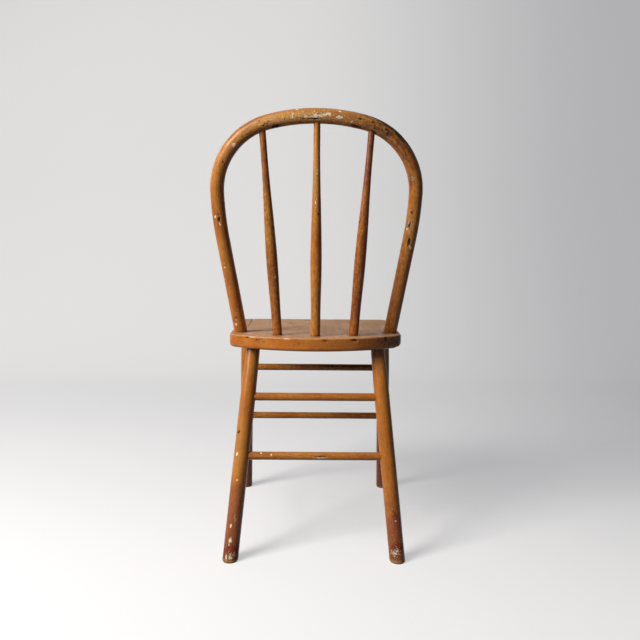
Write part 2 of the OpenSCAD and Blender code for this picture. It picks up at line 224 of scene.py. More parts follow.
def matt_backdrop_paper():
    """Seamless paper, matt and nearly white: it takes the chair's soft shadow without any shine. Where a ray
    shows it, it is pale and glows a little, with painted light that is brighter towards the window and over
    the near floor, and it throws hardly any light back on the chair."""
    material = new_material("matt_backdrop_paper")
    tree = material.node_tree
    seen = shows_background(tree)
    place = add(tree, "ShaderNodeSeparateXYZ", inputs={0: add(tree, "ShaderNodeTexCoord")["Object"]})
    across, back = place["X"], place["Y"]

    def painted_window_light(shaded, lit):
        return lay_over(tree, shaded, [(EVERYWHERE, across, -1.8, 0.3, 0, 1, lit)])[0]

    to_the_eye = painted_window_light("#f2f2f5", "#f6f6f8")
    surface, _ = lay_over(tree, "#666563", [(EVERYWHERE, seen, 0, 1, 0, 1, to_the_eye)])
    # painted light: the glow is brighter towards the window and over the near floor, and dimmer away from
    # them
    wall_glow, floor_glow = painted_window_light("#d2d3d7", "#ffffff"), painted_window_light("#c8c9cd", "#f2f2f4")
    glow_colour, _ = lay_over(tree, wall_glow, [
        (EVERYWHERE, back, -1.9, -0.9, 0, 1, floor_glow), (EVERYWHERE, back, -0.4, 0.5, 0, 0.8, "#ffffff")])

    share = add(tree, MATHS, {"operation": "MULTIPLY"}, {0: seen, 1: 0.51})[0]
    matt = add(tree, "ShaderNodeBsdfDiffuse", inputs={"Color": surface})[0]
    glow = add(tree, "ShaderNodeEmission", inputs={"Color": glow_colour, "Strength": 1.0})[0]
    paper = add(tree, "ShaderNodeMixShader", inputs={0: share, 1: matt, 2: glow})[0]
    add(tree, "ShaderNodeOutputMaterial", inputs={"Surface": paper})
    return material


def mesh_object(name, points, faces):
    mesh = bpy.data.meshes.new(name)
    mesh.from_pydata([tuple(p) for p in points], [], faces)
    mesh.polygons.foreach_set("use_smooth", [True] * len(mesh.polygons))
    mesh.update()
    obj = bpy.data.objects.new(name, mesh)
    bpy.context.collection.objects.link(obj)
    return obj


def paper_sweep():
    """The floor runs back and curves up into the wall; sizes here are in metres."""
    wide, front, bend_from, bend_r, high, bend_steps = 16.0, 16.0, -1.6, 1.1, 9.0, 24
    line = [(front, 0.0), (bend_from, 0.0)]
    for step in range(1, bend_steps + 1):
        turn = math.radians(90 * step / bend_steps)
        line.append((bend_from - bend_r * math.sin(turn), bend_r * (1 - math.cos(turn))))
    line.append((bend_from - bend_r, high))
    points = [(x, y, z) for y, z in line for x in (-wide, wide)]
    faces = [(2 * i, 2 * i + 1, 2 * i + 3, 2 * i + 2) for i in range(len(line) - 1)]
    obj = mesh_object("floor", points, faces)
    obj.data.materials.append(matt_backdrop_paper())
    return obj


paper_sweep()


# ---------------------------------------------------------------- old paint

# what a piece's mesh says about its wear and its painted light, from 0 up: four kinds of chip and the wood
# laid bare, dirt and painted shade, an older redder coat, rubbing and painted highlights, and how flecked
# the top coat is
LAYERS = ("loss", "red", "cream", "dark", "bare", "dirt_and_shade", "redness", "worn_and_highlight", "flecked")

BRICK_RED, CREAM, SMOKED_CREAM = "#7e3520", "#f1e6cb", "#b89a6c"
BLACKENED, BROWN_STAIN, BARE_WOOD, WOOD_GRAIN = "#2b180d", "#5a3520", "#b48a58", "#8a6136"
# the rubbed colour also paints highlights, and the dirt colour also paints shade
OLD_RED_COAT, RUBBED_PALE_AND_HIGHLIGHT, DUST, DIRT_AND_SHADE = "#80402a", "#cb9855", "#b5987e", "#2c190d"
# the seat alone: its bare plank, and how its veins and its thinnest paint look through the coat
WORN_PLANK, PLANK_GRAIN, VEIN_SHADOW, WORN_THIN = "#a8865f", "#7b5c3c", "#6d4526", "#cfa078"

# cell in mm, detail, roughness, times longer along the grain, start
PAINT_NOISE = {
    "streaks": (2.2, 3, 0.6, 16, 0.0),  # brush marks, drawn about twice as coarse as bristles leave them
    "patches": (16, 4, 0.6, 3.5, 0.3),  # where the coat was laid thin
    "broad": (70, 2, 0.5, 2, 0.7),  # slow fading
    "mottle": (4.2, 5, 0.7, 2.2, 4.1),  # flecks
    "fine": (1.3, 4, 0.65, 1.5, 0.5),  # grit and pinholes
    "loss": (3.4, 6, 0.68, 1.8, 0.1),  # the ragged outlines of the chips, layer by layer
    "red": (3.4, 5, 0.68, 1.7, 0.9),
    "cream": (2.4, 5, 0.68, 1.7, 1.3),
    "dark": (2.6, 5, 0.68, 1.7, 1.9),
    "bare": (3.0, 5, 0.68, 1.7, 2.4),
}
SEAT_NOISE = {
    "islands": (17, 7, 0.66, 2.6, 7.7),  # where sitters wore the coat through
    "veins": (11, 4, 0.55, 30, 8.9),  # the plank's grain, telegraphed through the coat
}
# how far a mark, and rubbing, open each kind of chip
CHIPPING = {
    "loss": (0.24, 0.03),
    "red": (0.24, 0.02),
    "cream": (0.24, 0.02),
    "dark": (0.24, 0.02),
    "bare": (0.30, 0.02),
}


def top_coat(tree, at, field, top, deep, light):
    """Brushed along the piece, uneven where it was laid thin, with an older redder coat, rubbed places and
    painted highlights."""
    patchy = add(tree, MATHS, {"operation": "ADD"}, {0: at["flecked"], 1: 0.25})[0]
    colour, _ = lay_over(tree, top, [
        (patchy, field["patches"], 0.6, 0.34, 0, 1, deep),
        (EVERYWHERE, field["broad"], 0.42, 0.68, 0, 0.55, light),
        (patchy, field["streaks"], 0.5, 0.66, 0, 0.8, deep),
        (at["flecked"], field["mottle"], 0.5, 0.6, 0, 1, deep),
        (at["flecked"], field["mottle"], 0.47, 0.36, 0, 1, light),
        (EVERYWHERE, at["redness"], 0, 1, 0, 0.8, OLD_RED_COAT),
        (at["worn_and_highlight"], field["mottle"], 0.4, 0.6, 0.15, 0.75, RUBBED_PALE_AND_HIGHLIGHT)])
    return colour


def chips(tree, at, field, colour):
    """Chips go down to red, cream, blackened and bare wood; returns the colour, the share of all that is
    chipped, and the share of the deeper step inside a chip."""
    opened = {}
    for layer, (by_mark, by_rubbing) in CHIPPING.items():
        marked = add(tree, MATHS, {"operation": "MULTIPLY_ADD"}, {
            0: at[layer], 1: by_mark, 2: field[layer]})[0]
        opened[layer] = add(tree, MATHS, {"operation": "MULTIPLY_ADD"}, {
            0: at["worn_and_highlight"], 1: by_rubbing, 2: marked})[0]
    cream, _ = lay_over(tree, CREAM, [(EVERYWHERE, field["fine"], 0.48, 0.64, 0, 1, SMOKED_CREAM)])
    black, _ = lay_over(tree, BLACKENED, [(EVERYWHERE, field["fine"], 0.42, 0.6, 0, 1, BROWN_STAIN)])
    wood, _ = lay_over(tree, BARE_WOOD, [(EVERYWHERE, field["streaks"], 0.4, 0.65, 0, 1, WOOD_GRAIN)])
    colour, shares = lay_over(tree, colour, [
        (EVERYWHERE, opened["loss"], 0.655, 0.67, 0, 1, BRICK_RED),
        (EVERYWHERE, opened["loss"], 0.70, 0.715, 0, 1, cream),
        (EVERYWHERE, opened["loss"], 0.73, 0.75, 0, 1, black),
        (EVERYWHERE, opened["red"], 0.66, 0.68, 0, 1, BRICK_RED),
        (EVERYWHERE, opened["cream"], 0.665, 0.685, 0, 1, cream),
        (EVERYWHERE, opened["dark"], 0.65, 0.67, 0, 1, BLACKENED),
        (EVERYWHERE, opened["bare"], 0.74, 0.76, 0, 1, wood)])
    chipped = 0.0
    for share in shares:
        chipped = add(tree, MATHS, {"operation": "MAXIMUM"}, {0: chipped, 1: share})[0]
    return colour, chipped, shares[1]


def sat_on(tree, at, grain, field, up, colour):
    """The seat's top wears through in larger islands, and the plank's grain shows through its coat."""
    plank = noise_fields(tree, grain, SEAT_NOISE)
    islands = add(tree, MATHS, {"operation": "MULTIPLY_ADD"}, {
        0: at["worn_and_highlight"], 1: 0.035, 2: plank["islands"]})[0]
    on_top = add(tree, "ShaderNodeMapRange", {"interpolation_type": "SMOOTHSTEP"}, {
        "Value": up, "From Min": 0.5, "From Max": 0.9})[0]
    plank_wood, _ = lay_over(tree, WORN_PLANK, [
        (EVERYWHERE, field["streaks"], 0.4, 0.62, 0, 1, PLANK_GRAIN)])
    colour, _ = lay_over(tree, colour, [
        (on_top, plank["veins"], 0.52, 0.66, 0, 0.42, VEIN_SHADOW),
        (on_top, islands, 0.575, 0.60, 0, 0.5, WORN_THIN),
        (on_top, islands, 0.61, 0.64, 0, 0.6, plank_wood)])
    return colour


def dust_dirt_and_shade(tree, at, grain, field, up, colour, cell, most):
    """Dust lies on what faces up, in clouds of the given cell, and dirt and painted shade where the marks
    lay them.
    """
    clouds = noise_fields(tree, grain, {"dust": (cell, 5, 0.55, 2.5, 3.1)})["dust"]
    upward = add(tree, "ShaderNodeMapRange", {"interpolation_type": "SMOOTHSTEP"}, {
        "Value": up, "From Min": 0.55, "From Max": 0.98, "To Max": most})[0]
    colour, (dusty, _) = lay_over(tree, colour, [
        (upward, clouds, 0.36, 0.62, 0.35, 1, DUST),
        (at["dirt_and_shade"], field["mottle"], 0.42, 0.58, 0.3, 1, DIRT_AND_SHADE)])
    return colour, dusty


def paint_film(tree, field, colour, chipped, deeper, dusty):
    """The film's sheen varies with its thickness, chips and dust are dull, and each chip is a shallow
    step."""
    sheen = add(tree, "ShaderNodeMapRange", {"interpolation_type": "SMOOTHSTEP"}, {
        "Value": field["patches"], "From Min": 0.3, "From Max": 0.7, "To Min": 0.28, "To Max": 0.17})[0]
    sheen = add(tree, MATHS, {"operation": "MULTIPLY_ADD"}, {0: field["fine"], 1: 0.12, 2: sheen})[0]
    dull = add(tree, MATHS, {"operation": "MAXIMUM"}, {0: chipped, 1: dusty})[0]
    rough = add(tree, "ShaderNodeMix", inputs={0: dull, 2: sheen, 3: 0.85})[0]
    relief = 0.0
    for part, height in ((chipped, -1.0), (deeper, -0.6), (field["streaks"], 0.35), (field["loss"], 1.1),
                         (field["fine"], 0.4)):
        relief = add(tree, MATHS, {"operation": "MULTIPLY_ADD"}, {0: part, 1: height, 2: relief})[0]
    bump = add(tree, "ShaderNodeBump", inputs={"Height": relief, "Strength": 0.7, "Distance": 0.3 * MM})[0]
    return add(tree, "ShaderNodeBsdfPrincipled", inputs={
        "Base Color": colour, "Roughness": rough, "Normal": bump,
        "IOR": 1.5, "Specular IOR Level": 0.26})[0]


def old_oil_paint(name, top, deep, light, seat=False):
    """Brushed oil paint in layers over wood, chipped, rubbed and dirty where the mesh says so."""
    material = new_material(name)
    tree = material.node_tree
    grain = add(tree, "ShaderNodeAttribute", {"attribute_name": "grain"})["Vector"]
    at = {layer: add(tree, "ShaderNodeAttribute", {"attribute_name": layer})["Fac"] for layer in LAYERS}
    field = noise_fields(tree, grain, PAINT_NOISE)
    normal = add(tree, "ShaderNodeNewGeometry")["Normal"]
    up = add(tree, "ShaderNodeSeparateXYZ", inputs={0: normal})["Z"]
    colour = top_coat(tree, at, field, top, deep, light)
    colour, chipped, deeper = chips(tree, at, field, colour)
    if seat:
        colour = sat_on(tree, at, grain, field, up, colour)
    dust_cell, dust_most = (42, 0.6) if seat else (14, 0.15)
    colour, dusty = dust_dirt_and_shade(tree, at, grain, field, up, colour, dust_cell, dust_most)
    film = paint_film(tree, field, colour, chipped, deeper, dusty)
    add(tree, "ShaderNodeOutputMaterial", inputs={"Surface": film})
    return material


def ochre_oil_paint():
    """Satin oil paint in yellow ochre, brushed on turned and bent wood: a soft streaky sheen, brown where it
    lies thin, with cream and brick-red chips."""
    return old_oil_paint("ochre_oil_paint", "#b06921", "#7e400f", "#c0883e")


def red_ochre_oil_paint():
    """The same paint mixed redder and darker: one spindle that reads as a shade warmer than the rest."""
    return old_oil_paint("red_ochre_oil_paint", "#a8601e", "#7a390f", "#b87632")


def rubbed_seat_paint():
    """The ochre paint on a plank that is sat on: dusty and dull on top, worn through in pale islands."""
    return old_oil_paint("rubbed_seat_paint", "#b4671d", "#80400f", "#be7a32", seat=True)


# ---------------------------------------------------------------- round pieces

# cell in mm, detail, roughness, times longer along the grain, start
SURFACE_NOISE = {"waver": (45, 3, 0.6, 2.2, 5.0), "lumps": (7, 3, 0.6, 2.5, 6.0)}


def rod_tree():
    """Sweeps a circle along a line of points, each with its own thickness, and lets the surface waver."""
    tree = bpy.data.node_groups.new("painted_rod", "GeometryNodeTree")
    sockets = {
        "Geometry": "NodeSocketGeometry", "Ring Spacing": "NodeSocketFloat", "Sides": "NodeSocketInt",
        "Waver": "NodeSocketFloat", "Facing": "NodeSocketVector", "Grain Start": "NodeSocketVector",
        "Level Below": "NodeSocketFloat", "Paint": "NodeSocketMaterial"}
    for name, kind in sockets.items():
        tree.interface.new_socket(name, in_out="INPUT", socket_type=kind)
    tree.interface.new_socket("Geometry", in_out="OUTPUT", socket_type="NodeSocketGeometry")
    given = add(tree, "NodeGroupInput")

    # rings at even steps along the line, each of which remembers its middle, heading, run and radius
    line = add(tree, "GeometryNodeMeshToCurve", inputs={"Mesh": given["Geometry"]})[0]
    line = add(tree, "GeometryNodeResampleCurve", {"mode": "LENGTH"}, {
        "Curve": line, "Length": given["Ring Spacing"]})[0]
    keep = add(tree, "GeometryNodeCaptureAttribute", {"domain": "POINT"}, {0: line})[0].node
    remembered = (
        ("VECTOR", "Middle", add(tree, "GeometryNodeInputPosition")[0]),
        ("VECTOR", "Heading", add(tree, "GeometryNodeInputTangent")[0]),
        ("FLOAT", "Run", add(tree, "GeometryNodeSplineParameter")["Length"]),
        ("FLOAT", "Radius", add(tree, "GeometryNodeInputNamedAttribute", {"data_type": "FLOAT"}, {
            "Name": "thickness"})[0]))
    for kind, name, source in remembered:
        keep.capture_items.new(kind, name)
        tree.links.new(source, keep.inputs[name])
    middle, heading, run, radius = (keep.outputs[name] for _, name, _ in remembered)
    circle = add(tree, "GeometryNodeCurvePrimitiveCircle", inputs={
        "Resolution": given["Sides"], "Radius": 1.0})[0]
    skin = add(tree, "GeometryNodeCurveToMesh", inputs={
        "Curve": keep.outputs[0], "Profile Curve": circle, "Scale": radius, "Fill Caps": True})[0]

    # the grain's own coordinates: how far along, and how far out towards the facing side and across it
    here = add(tree, "GeometryNodeInputPosition")[0]
    out = add(tree, VECTORS, {"operation": "SUBTRACT"}, {0: here, 1: middle})[0]
    along = add(tree, VECTORS, {"operation": "DOT_PRODUCT"}, {0: heading, 1: given["Facing"]})["Value"]
    slope = add(tree, VECTORS, {"operation": "SCALE"}, {0: heading, "Scale": along})[0]
    level = add(tree, VECTORS, {"operation": "SUBTRACT"}, {0: given["Facing"], 1: slope})[0]
    front = add(tree, VECTORS, {"operation": "NORMALIZE"}, {0: level})[0]
    side = add(tree, VECTORS, {"operation": "CROSS_PRODUCT"}, {0: heading, 1: front})[0]
    grain = add(tree, "ShaderNodeCombineXYZ", inputs={
        "X": run,
        "Y": add(tree, VECTORS, {"operation": "DOT_PRODUCT"}, {0: out, 1: front})["Value"],
        "Z": add(tree, VECTORS, {"operation": "DOT_PRODUCT"}, {0: out, 1: side})["Value"]})[0]
    grain = add(tree, VECTORS, {"operation": "ADD"}, {0: grain, 1: given["Grain Start"]})[0]
    skin = add(tree, "GeometryNodeStoreNamedAttribute", {"data_type": "FLOAT_VECTOR", "domain": "POINT"}, {
        "Geometry": skin, "Name": "grain", "Value": grain})[0]

    # hand-worked and much painted: the surface sinks by up to the waver
    sink = 0.0
    field = noise_fields(tree, grain, SURFACE_NOISE)
    for name, low, high, most in (("waver", 0.25, 0.75, 1.0), ("lumps", 0.3, 0.8, 0.35)):
        part = add(tree, "ShaderNodeMapRange", {"interpolation_type": "SMOOTHSTEP"}, {
            "Value": field[name], "From Min": low, "From Max": high, "To Max": most})[0]
        sink = add(tree, MATHS, {"operation": "ADD"}, {0: sink, 1: part})[0]
    sink = add(tree, MATHS, {"operation": "MULTIPLY"}, {0: sink, 1: given["Waver"]})[0]
    sink = add(tree, MATHS, {"operation": "MULTIPLY"}, {0: sink, 1: -1.0})[0]
    outward = add(tree, VECTORS, {"operation": "NORMALIZE"}, {0: out})[0]
    inward = add(tree, VECTORS, {"operation": "SCALE"}, {0: outward, "Scale": sink})[0]
    skin = add(tree, "GeometryNodeSetPosition", inputs={"Geometry": skin, "Offset": inward})[0]

    # below the given height, rings turn level so that a foot stands flat
    now = add(tree, "GeometryNodeInputPosition")[0]
    height, ring_height, rise = (
        add(tree, "ShaderNodeSeparateXYZ", inputs={0: vector})["Z"] for vector in (now, middle, heading))
    above_ring = add(tree, MATHS, {"operation": "SUBTRACT"}, {0: height, 1: ring_height})[0]
    off_level = add(tree, MATHS, {"operation": "DIVIDE"}, {0: above_ring, 1: rise})[0]
    share = add(tree, "ShaderNodeMapRange", inputs={
        "Value": ring_height, "From Min": given["Level Below"], "From Max": 0.0,
        "To Min": 0.0, "To Max": -1.0})[0]
    slide = add(tree, MATHS, {"operation": "MULTIPLY"}, {0: off_level, 1: share})[0]
    slide = add(tree, VECTORS, {"operation": "SCALE"}, {0: heading, "Scale": slide})[0]
    skin = add(tree, "GeometryNodeSetPosition", inputs={"Geometry": skin, "Offset": slide})[0]

    skin = add(tree, "GeometryNodeSetShadeSmooth", inputs={"Geometry": skin})[0]
    skin = add(tree, "GeometryNodeRealizeInstances", inputs={0: skin})[0]
    skin = add(tree, "GeometryNodeSetMaterial", inputs={"Geometry": skin, "Material": given["Paint"]})[0]
    add(tree, "NodeGroupOutput", inputs={0: skin})
    return tree


ROD = rod_tree()
SOCKET_IDS = {s.name: s.identifier for s in ROD.interface.items_tree if s.in_out == "INPUT"}


def keep_on_points(mesh, name, values):
    """Stores a number or a vector under this name for each point of a mesh."""
    values = np.asarray(values, np.float32)
    kind, field = ("FLOAT", "value") if values.ndim == 1 else ("FLOAT_VECTOR", "vector")
    mesh.attributes.new(name, kind, "POINT").data.foreach_set(field, values.ravel())


def rod(name, points, radii, paint, facing=(0, 1, 0), spacing=1.3, sides=60, waver=0.25, level_below=0.0):
    """A round piece along points, with a radius at each, all in millimetres."""
    line = bpy.data.meshes.new(name + "_line")
    places = [tuple(p) for p in np.asarray(points) * MM]
    line.from_pydata(places, [(i, i + 1) for i in range(len(places) - 1)], [])
    keep_on_points(line, "thickness", np.asarray(radii, np.float32) * MM)
    source = bpy.data.objects.new(name + "_line", line)
    bpy.context.collection.objects.link(source)
    modifier = source.modifiers.new("sweep", "NODES")
    modifier.node_group = ROD
    # each piece starts at its own place in the noise, so that no two are alike
    start = (sum(map(ord, name)) % 97) * 0.61
    for key, value in (("Ring Spacing", spacing * MM), ("Sides", sides), ("Waver", waver * MM),
                       ("Facing", facing), ("Grain Start", (start, 0.0, 0.0)),
                       ("Level Below", level_below * MM), ("Paint", paint)):
        modifier[SOCKET_IDS[key]] = value
    evaluated = source.evaluated_get(bpy.context.evaluated_depsgraph_get())
    mesh = bpy.data.meshes.new_from_object(evaluated)
    mesh.name = name
    obj = bpy.data.objects.new(name, mesh)
    bpy.context.collection.objects.link(obj)
    bpy.data.objects.remove(source)
    obj["grain_start"] = start
    return obj


def straight(a, b, count=160):
    a, b = np.asarray(a, float), np.asarray(b, float)
    return a + (b - a) * np.linspace(0, 1, count)[:, None]


def ease(t):
    return (1 - np.cos(np.pi * np.clip(t, 0, 1))) / 2


# ---- hoop

FOOT_X, FOOT_Y = half_width(HOOP_IN) - HOOP_SIDE, REAR_Y - HOOP_IN


def arc_travel(r, a, b):
    return r * np.array([math.sin(b) - math.sin(a), math.cos(a) - math.cos(b)])


HEADINGS = [math.radians(h) for h in (90 - HOOP_SPLAY, 90 - HOOP_SPLAY + WAIST_ANGLE,
                                      90 - HOOP_SPLAY + WAIST_ANGLE + SHOULDER_ANGLE, 180)]
FIRST = np.array([math.cos(HEADINGS[0]), math.sin(HEADINGS[0])])
BENDS = arc_travel(WAIST_R, HEADINGS[0], HEADINGS[1]) + arc_travel(SHOULDER_R, HEADINGS[1], HEADINGS[2])
CROWN = arc_travel(1, HEADINGS[2], HEADINGS[3])
CLOSING = FIRST[0] * CROWN[1] - FIRST[1] * CROWN[0]
STRAIGHT = (-(FOOT_X + BENDS[0]) * CROWN[1] - (HOOP_RISE - BENDS[1]) * CROWN[0]) / CLOSING
CROWN_R = (FIRST[0] * (HOOP_RISE - BENDS[1]) + FIRST[1] * (FOOT_X + BENDS[0])) / CLOSING


def hoop_half():
    """The right half of the hoop's centre line in its own plane, from the hidden foot to the crown's
    middle."""
    points = [np.array([FOOT_X, 0]) + FIRST * d for d in np.linspace(-HOOP_SOCKET, STRAIGHT, 80)]
    for r, a, b in ((WAIST_R, *HEADINGS[0:2]), (SHOULDER_R, *HEADINGS[1:3]), (CROWN_R, *HEADINGS[2:4])):
        start = points[-1]
        points += [start + arc_travel(r, a, a + (b - a) * t) for t in np.linspace(0, 1, 60)[1:]]
    return np.array(points)


def on_hoop(x, up):
    lean = math.radians(HOOP_LEAN)
    return np.array([x, FOOT_Y + up * math.sin(lean), SEAT_TOP + up * math.cos(lean)])


def hoop_line():
    """From the right foot over the crown to the left foot, with the rod's radius at each point."""
    half = hoop_half()
    flat = np.vstack([half, half[-2::-1] * [-1, 1]])
    points = np.array([on_hoop(x, up) for x, up in flat])
    runs = np.concatenate([[0], np.cumsum(np.linalg.norm(np.diff(points, axis=0), axis=1))])
    from_foot = np.minimum(runs, runs[-1] - runs)
    straight_part = STRAIGHT + HOOP_SOCKET
    bent = np.clip((from_foot - straight_part) / (runs[-1] / 2 - straight_part), 0, 1)
    return points, HOOP_FOOT_D / 2 + HOOP_SWELL / 2 * bent ** 1.5, runs


def hoop_up(x):
    half = hoop_half()
    top = half[half[:, 1] > HOOP_RISE * 0.6]
    order = np.argsort(top[:, 0])
    return float(np.interp(abs(x), top[order, 0], top[order, 1]))


# ---- wear

MARK_REACH = 1.6  # a mark fades out at this many times its size


def lay_mark(layers, sunk, reach, layer, strength, deep):
    """Adds one mark to its layer, where reach is how far out each point lies as a share of the mark's
    size; returns how far every point is pressed in, in mm."""
    mark = np.clip(MARK_REACH - reach, 0, MARK_REACH)
    layers[layer] = np.maximum(layers[layer], strength * mark)
    return np.maximum(sunk, deep * ease(mark))


def spots(obj, marks):
    """Marks places of wear, dirt, painted shade and painted highlight on a round piece. Each mark is (layer,
    along, around, long, wide, strength, deep): along in mm from the piece's start, around in degrees from
    its facing side, sizes and depth in mm."""
    mesh = obj.data
    count = len(mesh.vertices)
    grain = np.zeros(count * 3, np.float32)
    mesh.attributes["grain"].data.foreach_get("vector", grain)
    grain = grain.reshape(-1, 3)
    run = (grain[:, 0] - obj["grain_start"]) / MM
    turn = np.degrees(np.arctan2(grain[:, 2], grain[:, 1]))
    radius = np.hypot(grain[:, 1], grain[:, 2]) / MM
    layers = {name: np.zeros(count, np.float32) for name in LAYERS}
    sunk = np.zeros(count)
    for layer, along, around, long, wide, strength, deep in marks:
        across = np.radians((turn - around + 180) % 360 - 180) * radius
        reach = np.hypot((run - along) / (long / 2), across / (wide / 2))
        sunk = lay_mark(layers, sunk, reach, layer, strength, deep)
    return run, layers, sunk


def store(obj, layers, sunk):
    """Keeps the wear on the mesh and presses the marked places in."""
    mesh = obj.data
    for name, values in layers.items():
        keep_on_points(mesh, name, values)
    points = np.zeros(len(mesh.vertices) * 3, np.float32)
    normals = np.zeros(len(mesh.vertices) * 3, np.float32)
    mesh.vertices.foreach_get("co", points)
    mesh.vertex_normals.foreach_get("vector", normals)
    points -= normals * np.repeat(sunk, 3).astype(np.float32) * MM
    mesh.vertices.foreach_set("co", points)
    mesh.update()


def finish_piece(obj, node):
    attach(obj, "root")
    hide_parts(node)


OCHRE, RED_OCHRE, SEAT_PAINT = ochre_oil_paint(), red_ochre_oil_paint(), rubbed_seat_paint()


# around grows from the rear face towards the hoop's inside, and along runs from the right foot to the left
HOOP_WEAR = [
    # the right foot and arm
    # dirt and painted shade where the right foot meets the seat: the first mark on the next line
    ("dirt_and_shade", 20, 60, 16, 30, 0.5, 0), ("dark", 25, 15, 22, 16, 0.28, 0),
    ("cream", 40, -25, 6, 5, 1.05, 0.3), ("cream", 50, -15, 5, 3, 0.9, 0.2),
    ("red", 55, -10, 8, 5, 1.2, 0.2), ("cream", 140, -55, 5, 4, 0.8, 0.2),
    ("cream", 165, -25, 4, 4, 0.8, 0.2), ("cream", 255, 0, 5, 5, 1.0, 0.2),
    ("dark", 265, 0, 9, 5, 1.4, 0.6), ("cream", 270, -30, 5, 4, 1.1, 0.2),
    ("red", 275, 0, 6, 4, 1.2, 0.2), ("dark", 330, 30, 130, 8, 0.26, 0),
    ("dark", 380, 15, 7, 4, 0.55, 0.2),
    # the right shoulder: darker on the inside, with painted shade along its outer edge and two painted
    # highlight streaks near its rear face
    ("dirt_and_shade", 410, 90, 80, 20, 0.36, 0), ("dirt_and_shade", 470, -80, 230, 16, 0.3, 0),
    ("dirt_and_shade", 330, -85, 130, 16, 0.3, 0), ("cream", 420, 15, 8, 8, 0.95, 0.3),
    # painted highlights: both marks on the next line lighten the paint where a highlight falls
    ("worn_and_highlight", 440, 20, 110, 14, 0.7, 0), ("worn_and_highlight", 510, 5, 150, 16, 0.9, 0),
    ("dark", 450, 40, 50, 16, 0.25, 0), ("dark", 495, 35, 36, 20, 0.34, 0.1),
    ("dark", 515, 65, 18, 9, 1.3, 0.8), ("dark", 530, 80, 12, 5, 1.0, 0.5),
    # the crown: scuffed through to cream in short streaks
    ("cream", 550, 5, 5, 13, 0.8, 0.2), ("cream", 560, -55, 6, 5, 1.1, 0.2),
    ("cream", 595, 10, 60, 15, 0.32, 0.2), ("cream", 600, 0, 260, 44, 0.19, 0.1),
    ("dark", 590, 20, 300, 50, 0.07, 0), ("dirt_and_shade", 620, 20, 200, 60, 0.12, 0),
    # painted shade: the first mark on the next line darkens the crown's underside
    ("dirt_and_shade", 560, 65, 220, 12, 0.22, 0), ("cream", 575, 15, 14, 4, 1.0, 0.2),
    ("cream", 590, 20, 18, 4, 1.1, 0.2), ("cream", 600, 10, 20, 4, 1.1, 0.2),
    ("cream", 605, 15, 16, 3, 1.0, 0.2), ("cream", 615, 0, 16, 4, 1.1, 0.2),
    ("cream", 620, -10, 12, 4, 0.9, 0.2), ("dark", 590, 30, 26, 4, 0.8, 0.3),
    ("dark", 570, 25, 9, 3, 0.9, 0.2), ("cream", 640, 10, 14, 6, 0.85, 0.2),
    ("cream", 640, -40, 6, 5, 1.0, 0.2), ("cream", 665, 30, 6, 4, 0.9, 0.2),
    ("red", 675, 70, 28, 12, 0.9, 0.2), ("dark", 675, 55, 20, 5, 0.9, 0.4),
    ("dark", 680, -5, 7, 4, 1.3, 0.4), ("red", 600, 70, 90, 10, 0.3, 0.1),
    # the left shoulder: the finish is gone black and rough along the outside
    ("dark", 715, 20, 60, 26, 0.3, 0.1), ("dark", 705, -10, 6, 4, 0.75, 0.3),
    ("dark", 710, 10, 7, 4, 0.7, 0.3), ("dark", 720, 25, 9, 5, 0.75, 0.3),
    ("dark", 725, 5, 7, 4, 0.65, 0.3), ("dark", 735, -5, 9, 4, 0.7, 0.3),
    ("dark", 715, 65, 10, 8, 1.3, 0.5), ("dark", 740, 20, 14, 6, 0.8, 0.3),
    ("dark", 710, -65, 34, 8, 0.9, 0.3), ("dark", 735, -55, 42, 9, 1.2, 0.6),
    ("dark", 760, -50, 36, 10, 1.25, 0.8), ("dark", 780, -60, 30, 8, 0.9, 0.4),
    ("dirt_and_shade", 740, -60, 130, 26, 0.85, 0), ("dirt_and_shade", 745, 10, 140, 60, 0.5, 0),
    ("dark", 770, 10, 70, 22, 0.2, 0), ("red", 760, 45, 60, 12, 0.3, 0.1),
    # painted shade: both marks on the next line darken the left arm, the side away from the window
    ("dirt_and_shade", 830, 20, 120, 40, 0.28, 0), ("dirt_and_shade", 980, 35, 340, 40, 0.3, 0),
    # the left arm
    ("dark", 795, 30, 40, 18, 0.34, 0.1), ("loss", 845, 40, 10, 10, 0.8, 0.5),
    ("red", 855, 50, 20, 7, 0.8, 0.2), ("dark", 915, 25, 6, 5, 1.3, 0.4),
    ("loss", 940, 30, 22, 11, 1.0, 0.8), ("cream", 950, 50, 5, 4, 1.0, 0.2),
    ("dark", 975, 5, 16, 6, 1.3, 0.7), ("cream", 985, -15, 11, 7, 0.95, 0.3),
    # dirt and painted shade where the left foot meets the seat
    ("dirt_and_shade", 1180, 10, 34, 60, 0.5, 0),
    # the front face, which sitters' backs rub
    ("worn_and_highlight", 320, 180, 240, 24, 0.8, 0), ("worn_and_highlight", 880, 180, 240, 24, 0.8, 0),
    ("cream", 560, 165, 46, 12, 0.34, 0.2), ("loss", 655, 190, 26, 9, 0.9, 0.5),
    ("loss", 310, 170, 16, 8, 1.0, 0.4), ("dark", 905, 195, 12, 6, 1.1, 0.5),
    ("loss", 470, -120, 22, 8, 1.0, 0.5), ("cream", 760, 150, 12, 6, 0.9, 0.2),
    ("loss", 1050, 200, 10, 6, 1.1, 0.4),
]


def make_hoop():
    points, radii, runs = hoop_line()
    obj = rod("hoop", points, radii, OCHRE, spacing=1.25, sides=72, waver=0.3)
    run, layers, sunk = spots(obj, HOOP_WEAR)
    # rubbed and flecked most at the crown, where hands lift it
    from_top = abs(run - runs[-1] / 2)
    layers["worn_and_highlight"] += 0.7 * np.clip(1.3 - from_top / 110, 0, 1)
    layers["flecked"] += 0.26 + 0.34 * ease(1.6 - from_top / 180)
    store(obj, layers, sunk)
    finish_piece(obj, "hoop")


